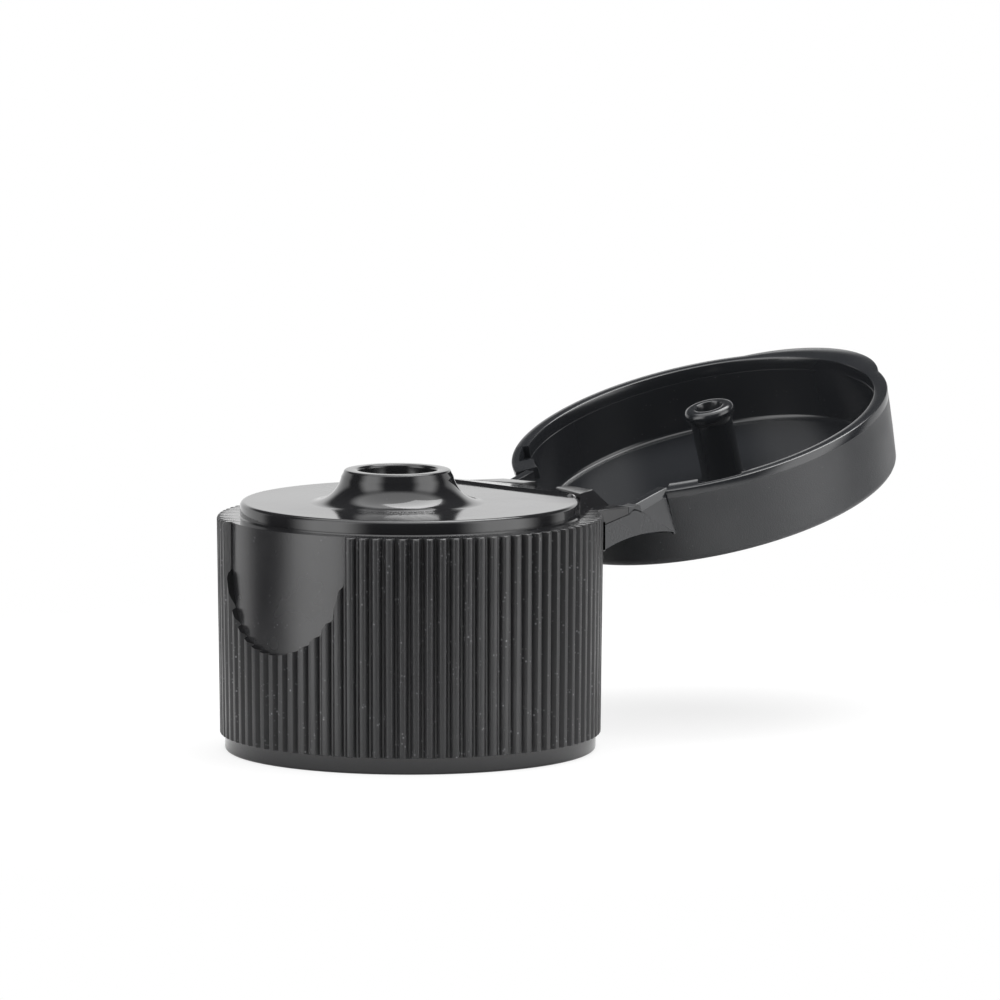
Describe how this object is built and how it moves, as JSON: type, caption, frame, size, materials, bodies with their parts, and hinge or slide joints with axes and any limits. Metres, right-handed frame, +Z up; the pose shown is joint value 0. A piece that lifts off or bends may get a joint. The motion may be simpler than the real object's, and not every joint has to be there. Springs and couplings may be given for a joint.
{
  "type": "flip top cap",
  "caption": "Ribbed screw closure with a raised deck and flared dispensing nozzle, and a shallow plug lid on a moulded butterfly hinge, shown open.",
  "frame": {"origin": "centre of the skirt's open foot, on the cap's axis, in the plane the foot stands on", "axes": "+Z up the cap's axis towards the nozzle, +Y towards the hinge, -Y the front with the thumb recess"},
  "size_m": [0.0276, 0.0565, 0.0249],
  "materials": {
    "cap_moulding": "black injection-moulded polypropylene, fine matte skirt and lid wall, glossy deck and nozzle",
    "hinge_film": "thin flexed black polypropylene"
  },
  "bodies": {
    "closure": {"closure_body": "cap_moulding", "hinge_strap": "hinge_film", "hinge_wing_left": "hinge_film", "hinge_wing_right": "hinge_film"},
    "lid": {"lid": "cap_moulding"}
  },
  "joints": [
    {"name": "lid_hinge", "type": "hinge", "parent": "closure", "child": "lid", "pos_m": [0, 0.01464, 0.01641], "axis": [-1, 0, 0], "range_deg": [-163.2, 15], "deforming": ["hinge_strap", "hinge_wing_left", "hinge_wing_right"]}
  ]
}
